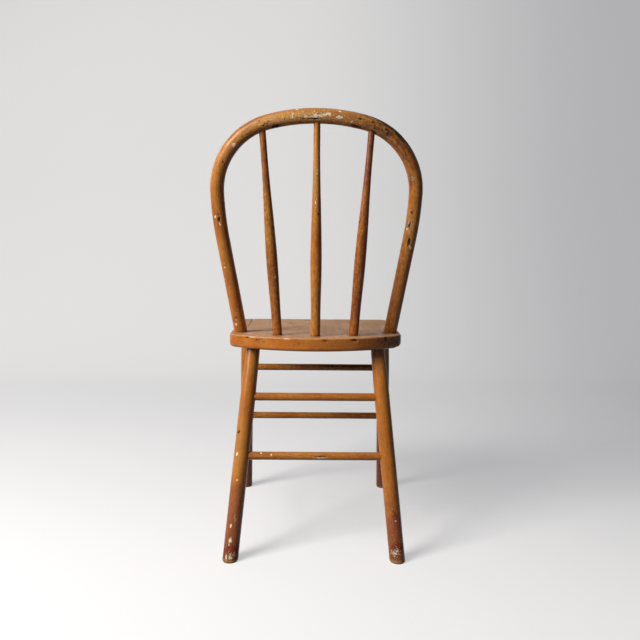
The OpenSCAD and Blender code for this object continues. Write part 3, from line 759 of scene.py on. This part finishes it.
SPINDLE_WEAR = {
    "spindle_right": [
        ("dark", 345, -80, 60, 5, 0.55, 0.2), ("dark", 370, -70, 10, 4, 0.9, 0.3),
        ("dark", 300, -80, 40, 4, 0.4, 0.1), ("cream", 140, 20, 8, 4, 0.8, 0.2),
        ("loss", 210, 160, 16, 6, 1.0, 0.4), ("worn_and_highlight", 150, 180, 160, 16, 0.8, 0)],
    "spindle_middle": [
        ("cream", 290, -10, 24, 5, 0.55, 0.1), ("dark", 265, 20, 5, 4, 1.1, 0.3),
        ("worn_and_highlight", 330, 0, 150, 12, 0.7, 0), ("cream", 350, 10, 40, 5, 0.3, 0.1),
        ("dark", 240, 75, 120, 5, 0.32, 0.1), ("loss", 190, 185, 14, 6, 1.1, 0.4)],
    "spindle_left": [
        ("dark", 390, 20, 10, 3, 0.6, 0.2), ("dark", 330, 70, 120, 5, 0.36, 0.1),
        ("dark", 340, -30, 60, 5, 0.3, 0.1), ("dark", 250, -70, 8, 4, 0.9, 0.3),
        ("dark", 220, -75, 6, 4, 0.9, 0.2), ("cream", 235, -10, 6, 3, 0.6, 0.2),
        ("dark", 415, 60, 16, 6, 0.9, 0.3), ("loss", 260, 175, 18, 6, 1.0, 0.4),
        ("dark", 120, -20, 5, 4, 0.9, 0.2)],
}


def spindle_row_y(x):
    """The spindles stand in a gentle curve along the seat's rear."""
    return REAR_Y - SPINDLE_IN - SPINDLE_ROW_R + math.sqrt(SPINDLE_ROW_R**2 - x**2)


def make_spindle(side, name, paint):
    foot_x, top_x = side * SPINDLE_FOOT_X, side * SPINDLE_TOP_X
    foot = np.array([foot_x, spindle_row_y(foot_x), SEAT_TOP])
    top = on_hoop(top_x, hoop_up(top_x))
    long = np.linalg.norm(top - foot)
    way = (top - foot) / long
    points = straight(foot - way * SPINDLE_SOCKET, top + way * 2)
    up = np.linspace(-SPINDLE_SOCKET, long + 2, len(points))
    neck = long - HOOP_FOOT_D / 2 - HOOP_SWELL / 2 - NECK_DOWN
    swelling = (SPINDLE_BELLY_D - SPINDLE_FOOT_D) * ease((up - FOOT_UP) / (BELLY_UP - FOOT_UP))
    thinning = (SPINDLE_TOP_D - SPINDLE_BELLY_D) * ease((up - BELLY_UP) / (neck - BELLY_UP))
    radii = np.where(up < BELLY_UP, SPINDLE_FOOT_D + swelling, SPINDLE_BELLY_D + thinning) / 2
    obj = rod(name, points, radii, paint, spacing=1.3, sides=48, waver=0.2)
    run, layers, sunk = spots(obj, SPINDLE_WEAR[name])
    # the outer two are dirtier, and keep more of the older redder coat high up; dirt and painted shade sit
    # in the joints
    high = ease((run - 250) / 130)
    least, most, soiled = {LEFT: (0.02, 0.78, 0.36), RIGHT: (0.1, 0.45, 0.34)}.get(side, (0.0, 0.0, 0.0))
    layers["redness"] += least + most * high
    layers["dirt_and_shade"] += soiled
    layers["flecked"] += 0.42
    layers["dirt_and_shade"] += 0.5 * ease((SPINDLE_SOCKET + 7 - run) / 7) + 0.4 * ease((run - long - 2) / 10)
    store(obj, layers, sunk)
    finish_piece(obj, name)


# along runs up from the floor
LEG_WEAR = {
    "rear_leg_right": [
        ("dark", 255, -40, 12, 8, 0.75, 0.5), ("cream", 210, -35, 6, 5, 1.1, 0.2),
        ("cream", 160, -10, 5, 5, 1.0, 0.2), ("cream", 70, -20, 6, 5, 1.1, 0.2),
        ("cream", 40, -15, 13, 7, 0.72, 0.3), ("red", 20, 0, 30, 44, 0.85, 0.3),
        ("cream", 10, -30, 9, 4, 1.0, 0.3), ("cream", 85, 5, 16, 4, 0.4, 0.1),
        ("cream", 15, 10, 14, 24, 0.42, 0.1), ("dark", 120, 30, 70, 8, 0.3, 0.1),
        ("loss", 300, 110, 18, 7, 1.0, 0.5), ("loss", 60, 170, 22, 10, 1.0, 0.6)],
    "rear_leg_left": [
        ("cream", 80, 10, 4, 4, 0.8, 0.2), ("cream", 20, -20, 14, 14, 0.5, 0.2),
        ("cream", 25, 5, 14, 12, 0.46, 0.1), ("red", 30, 5, 20, 26, 0.8, 0.2),
        ("red", 90, 15, 30, 12, 0.7, 0.1), ("dark", 205, 40, 90, 8, 0.3, 0.1),
        ("loss", 150, 165, 20, 8, 1.0, 0.5)],
    "front_leg_right": [
        ("loss", 60, 185, 26, 10, 1.1, 0.7), ("red", 110, 170, 30, 12, 0.8, 0.2),
        ("cream", 230, 180, 8, 6, 1.0, 0.2), ("dark", 330, 150, 12, 6, 1.1, 0.5),
        ("cream", 25, 200, 20, 5, 1.0, 0.3)],
    "front_leg_left": [
        ("loss", 95, 175, 22, 9, 1.1, 0.7), ("cream", 40, 160, 16, 6, 1.0, 0.3),
        ("red", 180, 190, 26, 10, 0.8, 0.2), ("loss", 290, 200, 12, 6, 1.1, 0.4),
        ("dark", 60, 20, 8, 5, 1.0, 0.3)],
}


def make_leg(end, side, name):
    foot, top = leg_at(end, side, 0), leg_at(end, side, UNDER_Z)
    long = np.linalg.norm(top - foot)
    points = straight(foot, top + (top - foot) / long * LEG_SOCKET, 300)
    up = np.linspace(0, long + LEG_SOCKET, len(points))
    taper = (up - (long - LEG_NECK - LEG_TAPER)) / LEG_TAPER
    radii = (LEG_D + (LEG_TOP_D - LEG_D) * ease(np.clip(taper, 0, 1) / 2) * 2) / 2
    # the foot's edge is knocked round
    radii -= 1.6 * np.clip(1 - up / 3.5, 0, 1) ** 1.6
    obj = rod(name, points, radii, OCHRE, spacing=1.45, sides=68, waver=0.3, level_below=45)
    run, layers, sunk = spots(obj, LEG_WEAR[name])
    # the lower leg is redder and kicked through its coats, bare at the very foot and dirty low down; its top
    # is darkened as painted shade, where the seat shades it
    low = {"rear_leg_right": 158, "rear_leg_left": 92}.get(name, 120)
    layers["redness"] += 0.36 * ease(1.35 - run / 165) + 0.44 * ease((low + 8 - run) / 26)
    layers["cream"] += 0.12 * ease(1.2 - run / 130)
    layers["red"] += 0.2 * ease(1.1 - run / 120)
    layers["bare"] += 1.3 * ease(1.5 - run / 8)
    layers["flecked"] += 0.16 + 0.3 * ease(1.4 - run / 140)
    layers["dirt_and_shade"] += 0.25 * ease(1 - run / 60) + 0.7 * ease((run - long + 34) / 30)
    store(obj, layers, sunk)
    finish_piece(obj, name)


# along runs from the left leg, or from the front leg on the sides
STRETCHER_WEAR = {
    "rear_stretcher_upper": [("worn_and_highlight", 130, -60, 180, 8, 0.8, 0)],
    "rear_stretcher_lower": [
        ("cream", 260, 55, 6, 4, 1.0, 0.2), ("cream", 240, 30, 5, 4, 1.0, 0.2),
        ("cream", 140, -10, 28, 4, 0.85, 0.1), ("dark", 140, 10, 24, 3, 0.9, 0.3),
        ("cream", 300, 10, 7, 5, 0.9, 0.2), ("cream", 225, -20, 26, 4, 0.5, 0.1),
        ("dark", 60, 40, 30, 5, 0.4, 0.1), ("worn_and_highlight", 140, -60, 200, 8, 0.8, 0)],
    # sitters' heels have rubbed the front ones down to the wood; the long mark along each one's rear face is
    # painted shade, for the shadow under the seat
    "front_stretcher_upper": [
        ("dirt_and_shade", 150, 10, 360, 30, 0.3, 0), ("worn_and_highlight", 150, -110, 180, 14, 1.0, 0),
        ("bare", 120, -120, 60, 10, 0.7, 0.4), ("bare", 215, -115, 44, 9, 0.7, 0.4)],
    "front_stretcher_lower": [
        ("dirt_and_shade", 150, 10, 360, 30, 0.12, 0), ("worn_and_highlight", 150, -110, 200, 14, 1.0, 0),
        ("bare", 105, -115, 90, 12, 0.8, 0.6), ("bare", 220, -110, 70, 11, 0.8, 0.5),
        ("loss", 160, 150, 20, 7, 1.0, 0.4)],
    "side_stretcher_left_upper": [("loss", 90, -40, 16, 6, 1.0, 0.4), ("cream", 230, 20, 7, 4, 1.0, 0.2)],
    "side_stretcher_left_lower": [("dark", 250, 10, 14, 5, 1.0, 0.3), ("loss", 130, 30, 18, 6, 1.0, 0.4)],
    "side_stretcher_right_upper": [("cream", 150, -30, 18, 4, 0.9, 0.2), ("dark", 60, 20, 8, 4, 1.0, 0.3)],
    "side_stretcher_right_lower": [("loss", 210, 0, 20, 7, 1.0, 0.4), ("cream", 110, -50, 8, 4, 1.0, 0.2)],
}


def make_stretcher(a, b, name, facing):
    way = (b - a) / np.linalg.norm(b - a)
    points = straight(a - way * STRETCHER_PAST, b + way * STRETCHER_PAST)
    radii = np.full(len(points), STRETCHER_D / 2)
    obj = rod(name, points, radii, OCHRE, facing=facing, spacing=1.5, sides=38, waver=0.2)
    run, layers, sunk = spots(obj, STRETCHER_WEAR.get(name, []))
    # dirt and painted shade in the joints
    layers["dirt_and_shade"] += 0.5 * ease(np.maximum(15 - run, run - run.max() + 15) / 8)
    layers["flecked"] += 0.36
    store(obj, layers, sunk)
    finish_piece(obj, name)


# ---- seat


def arc_points(centre, r, a, b, step=1.7):
    count = max(3, int(abs(b - a) * r / step))
    return [(centre[0] + r * math.cos(t), centre[1] + r * math.sin(t)) for t in np.linspace(a, b, count)]


def line_points(a, b, step=1.7):
    count = max(2, int(math.dist(a, b) / step))
    return [tuple(np.asarray(a) + (np.asarray(b) - np.asarray(a)) * t) for t in np.linspace(0, 1, count)]


def seat_outline():
    """The seat's edge seen from above, anticlockwise from the front's middle, with the split cut in,
    and for each point how far its edge is rounded: fully outside, hardly at all inside the split."""
    lean = math.atan((SEAT_FRONT_WIDE - SEAT_REAR_WIDE) / 2 / SEAT_DEPTH)
    corner_x = half_width(SEAT_DEPTH - FRONT_CORNER_R) - FRONT_CORNER_R / math.cos(lean)
    front = (corner_x, FRONT_Y + FRONT_CORNER_R)
    middle = (0.0, REAR_Y - SEAT_REAR_R)
    reach = SEAT_REAR_R - REAR_CORNER_R
    turn = lean + math.acos((half_width(SEAT_REAR_R) * math.cos(lean) - REAR_CORNER_R) / reach)
    rear = (reach * math.cos(turn), middle[1] + reach * math.sin(turn))
    right = arc_points(front, FRONT_CORNER_R, -math.pi / 2, lean)
    right += arc_points(rear, REAR_CORNER_R, lean, turn)
    right += arc_points(middle, SEAT_REAR_R, turn, math.pi / 2)
    dense = []
    for a, b in zip(right, right[1:]):
        piece = line_points(a, b)
        dense += piece[:-1] if math.dist(a, b) > 1e-6 else []
    dense.append(right[-1])
    left = [(-x, y) for x, y in dense[-2::-1]]

    # the split follows the grain, both walls wandering together
    walls = []
    for side in (LEFT, RIGHT):
        wall = []
        for back in np.linspace(0, SPLIT_LONG, 125):
            share = back / SPLIT_LONG
            settling = min(1, back / 20) * min(1, (1 - share) * 8)
            wander = 1.1 * noise.noise(Vector((back / 38, 0.0, 7.0))) * settling
            centre = SPLIT_X - SPLIT_DRIFT * share + wander
            gap = SPLIT_WIDE * (1 - share) ** 0.75
            wall.append((centre + side * max(gap, 0.12) / 2, FRONT_Y + back))
        walls.append(wall)
    before = line_points((0.0, FRONT_Y), walls[0][0])[:-1]
    tip = [(SPLIT_X - SPLIT_DRIFT, FRONT_Y + SPLIT_LONG + 1.0)]
    notch = walls[0] + tip + walls[1][::-1]
    after = [p for p in dense if not (p[0] < SPLIT_X + SPLIT_WIDE / 2 + 0.8 and p[1] < FRONT_Y + 1)]
    front_left = line_points(left[-1], (0.0, FRONT_Y))[1:-1]
    points = before + notch + after + left + front_left
    rounded = [1.0] * len(before) + [0.12] * len(notch) + [1.0] * (len(after) + len(left) + len(front_left))
    return np.array(points), np.array(rounded)


def outward(points):
    """The direction out of an anticlockwise outline at each point."""
    ahead, behind = np.roll(points, -1, axis=0), np.roll(points, 1, axis=0)
    way = ahead - behind
    way /= np.linalg.norm(way, axis=1)[:, None]
    return np.stack([way[:, 1], -way[:, 0]], axis=1)


def edge_profile():
    """How far each level of the seat's edge is set in, and its height above the underside."""
    levels = [(UNDER_EDGE_R * (1 - math.sin(a)), UNDER_EDGE_R * (1 - math.cos(a)))
              for a in np.radians(np.linspace(0, 90, 8))]
    levels += [(0.0, z) for z in np.linspace(UNDER_EDGE_R, SEAT_THICK - UPPER_EDGE_R, 12)[1:]]
    levels += [(UPPER_EDGE_R * (1 - math.cos(a)), SEAT_THICK - UPPER_EDGE_R * (1 - math.sin(a)))
               for a in np.radians(np.linspace(0, 90, 5)[1:])]
    return levels


def cap(ring, spacing):
    """Fills a ring of points with even triangles; returns all the points, the triangles over them, and
    which of the points put in, the ring's first, each one came from."""
    low, high = ring.min(axis=0), ring.max(axis=0)
    xs = np.arange(low[0] + spacing / 2, high[0], spacing)
    ys = np.arange(low[1] + spacing / 2, high[1], spacing)
    tree = KDTree(len(ring))
    for i, p in enumerate(ring):
        tree.insert((p[0], p[1], 0), i)
    tree.balance()
    inner = []
    for row, y in enumerate(ys):
        for x in xs + (spacing / 2 if row % 2 else 0):
            if tree.find((x, y, 0))[2] > 0.75 * spacing:
                inner.append((x, y))
    everything = [Vector(p) for p in ring] + [Vector(p) for p in inner]
    edges = [(i, (i + 1) % len(ring)) for i in range(len(ring))]
    verts, _, faces, origin, _, _ = delaunay_2d_cdt(everything, edges, [], 1, 1e-5)
    return verts, faces, origin


# the grain runs from front to rear, and starts here in the noise
SEAT_GRAIN_START = (3.0, 0.0, 0.0)
# each mark: (layer, x, y, z, wide, deep in, high, strength, depth), places and sizes in mm
SEAT_WEAR = [
    ("dark", -20, 188, 441, 13, 6, 5, 0.85, 0.9), ("dark", -80, 177, 441, 16, 9, 6, 0.95, 1.1),
    ("dark", -145, 150, 440, 7, 18, 16, 1.0, 0.9), ("dark", -150, 138, 425, 5, 10, 18, 0.65, 0.3),
    ("dirt_and_shade", -150, 120, 430, 90, 110, 50, 0.5, 0), ("dark", -165, 130, 432, 50, 60, 24, 0.36, 0.2),
    ("loss", -175, 112, 420, 18, 34, 10, 1.1, 1.8), ("loss", -160, 150, 444, 22, 16, 5, 1.0, 1.0),
    ("dark", -100, 181, 418, 18, 6, 4, 1.1, 0.8), ("dark", -50, 186, 418, 16, 6, 4, 0.9, 0.6),
    ("dark", 140, 147, 441, 11, 8, 4, 0.9, 0.4), ("cream", 130, 155, 443, 16, 9, 3, 0.9, 0.2),
    ("dark", 120, 160, 438, 44, 20, 12, 0.34, 0.1), ("cream", 110, 165, 440, 34, 12, 8, 0.3, 0.1),
    ("cream", 60, 182, 443, 18, 6, 3, 0.8, 0.2), ("dark", 30, 187, 432, 90, 8, 8, 0.28, 0.1),
    ("dark", 60, -110, 445, 26, 46, 4, 0.5, 0.1), ("dark", -60, 30, 445, 30, 60, 4, 0.34, 0.1),
    ("cream", 20, -150, 445, 14, 40, 4, 0.6, 0.1), ("loss", -90, -140, 445, 20, 44, 4, 0.9, 0.4),
    ("loss", 90, -60, 445, 16, 36, 4, 0.8, 0.3), ("bare", 0, -205, 444, 120, 14, 6, 0.6, 0.4),
    ("loss", -120, -213, 438, 24, 6, 10, 1.1, 0.9), ("loss", 60, -214, 428, 16, 5, 10, 1.0, 0.7),
    ("loss", 190, -60, 440, 6, 30, 8, 1.1, 0.9), ("loss", -185, 0, 436, 6, 26, 10, 1.1, 0.8),
    ("dark", -190, -120, 430, 6, 34, 12, 0.8, 0.5), ("cream", 185, 60, 432, 6, 22, 8, 0.8, 0.2),
]


def joint_places():
    """Where the hoop and the spindles stand on the seat, and how thick they are there."""
    rows = [(side * FOOT_X, FOOT_Y, HOOP_FOOT_D / 2) for side in (LEFT, RIGHT)]
    for side in (LEFT, 0, RIGHT):
        x = side * SPINDLE_FOOT_X
        rows.append((x, spindle_row_y(x), SPINDLE_FOOT_D / 2))
    return rows


def seat_skin(outline, rounded):
    """The plank's points in mm and its faces: rings up the edge, closed below and above."""
    out = outward(outline)
    # the split's mouth follows the rounded front edge back
    drawn = np.where(rounded < 1, np.clip(1 - (outline[:, 1] - FRONT_Y) / SPLIT_LONG, 0, 1), 0)
    rings = []
    for inset, z in edge_profile():
        flat = outline - out * (inset * rounded)[:, None]
        flat[:, 1] += inset * drawn
        rings.append(np.column_stack([flat, np.full(len(flat), UNDER_Z + z)]))
    count = len(outline)
    points = [p for ring in rings for p in ring]
    faces = []
    for k in range(len(rings) - 1):
        for i in range(count):
            j = (i + 1) % count
            faces.append((k * count + i, k * count + j, (k + 1) * count + j, (k + 1) * count + i))
    for ring_index, spacing, flip in ((len(rings) - 1, 1.75, False), (0, 4.5, True)):
        ring = rings[ring_index]
        verts, triangles, origin = cap(ring[:, :2], spacing)
        index = []
        for v, came in zip(verts, origin):
            on_ring = [c for c in came if c < count]
            if on_ring:
                index.append(ring_index * count + on_ring[0])
            else:
                index.append(len(points))
                points.append(np.array([v.x, v.y, ring[0, 2]]))
        for triangle in triangles:
            corners = [index[c] for c in triangle]
            faces.append(tuple(corners[::-1] if flip else corners))
    return np.array(points), faces


def make_seat():
    outline, rounded = seat_outline()
    points, faces = seat_skin(outline, rounded)
    obj = mesh_object("seat", points * MM, faces)
    place = np.array([v.co for v in obj.data.vertices])
    keep_on_points(obj.data, "grain", place[:, [1, 0, 2]] + SEAT_GRAIN_START)
    layers = {name: np.zeros(len(place), np.float32) for name in LAYERS}
    sunk = np.zeros(len(place))
    mm = place / MM
    for layer, x, y, z, wide, deep_in, high, strength, deep in SEAT_WEAR:
        reach = np.linalg.norm((mm - [x, y, z]) / (wide / 2, deep_in / 2, high / 2), axis=1)
        sunk = lay_mark(layers, sunk, reach, layer, strength, deep)
    # the rounded edges are rubbed paler, and through to the wood in places
    count = len(outline)
    on_edge = np.zeros(len(place))
    for k, (_, z) in enumerate(edge_profile()):
        if z > SEAT_THICK - UPPER_EDGE_R:
            on_edge[k * count : (k + 1) * count] = rounded
    layers["flecked"] += 0.22
    layers["worn_and_highlight"] += on_edge
    layers["bare"] = np.maximum(layers["bare"], 0.55 * on_edge)
    # sitters rub the middle of the top; dirt and painted shade gather round each joint
    on_top = mm[:, 2] > SEAT_TOP - 1
    layers["worn_and_highlight"] += 0.7 * on_top * ease(1.4 - np.hypot(mm[:, 0] / 190, (mm[:, 1] + 40) / 170))
    for x, y, r in joint_places():
        layers["dirt_and_shade"] += 0.75 * on_top * ease(1 - (np.hypot(mm[:, 0] - x, mm[:, 1] - y) - r) / 7)
    store(obj, layers, sunk)
    obj.data.materials.append(SEAT_PAINT)
    finish_piece(obj, "seat")


make_seat()
make_hoop()
for side, name, paint, paint_slot in ((LEFT, "spindle_left", RED_OCHRE, "red_ochre_paint"),
                                      (0, "spindle_middle", OCHRE, "ochre_paint"),
                                      (RIGHT, "spindle_right", OCHRE, "ochre_paint")):
    make_spindle(side, name, paint)
for end, end_name in ((REAR, "rear"), (FRONT, "front")):
    for side, side_name in ((LEFT, "left"), (RIGHT, "right")):
        make_leg(end, side, f"{end_name}_leg_{side_name}")
for level in ("upper", "lower"):
    for end, end_name, heights in ((REAR, "rear", REAR_HEIGHTS), (FRONT, "front", FRONT_HEIGHTS)):
        at_left, at_right = (leg_at(end, side, heights[level]) for side in (LEFT, RIGHT))
        make_stretcher(at_left, at_right, f"{end_name}_stretcher_{level}", (0, 1, 0))
    for side, side_name in ((LEFT, "left"), (RIGHT, "right")):
        at_front, at_rear = (leg_at(end, side, SIDE_HEIGHTS[level]) for end in (FRONT, REAR))
        make_stretcher(at_front, at_rear, f"side_stretcher_{side_name}_{level}", (side, 0, 0))
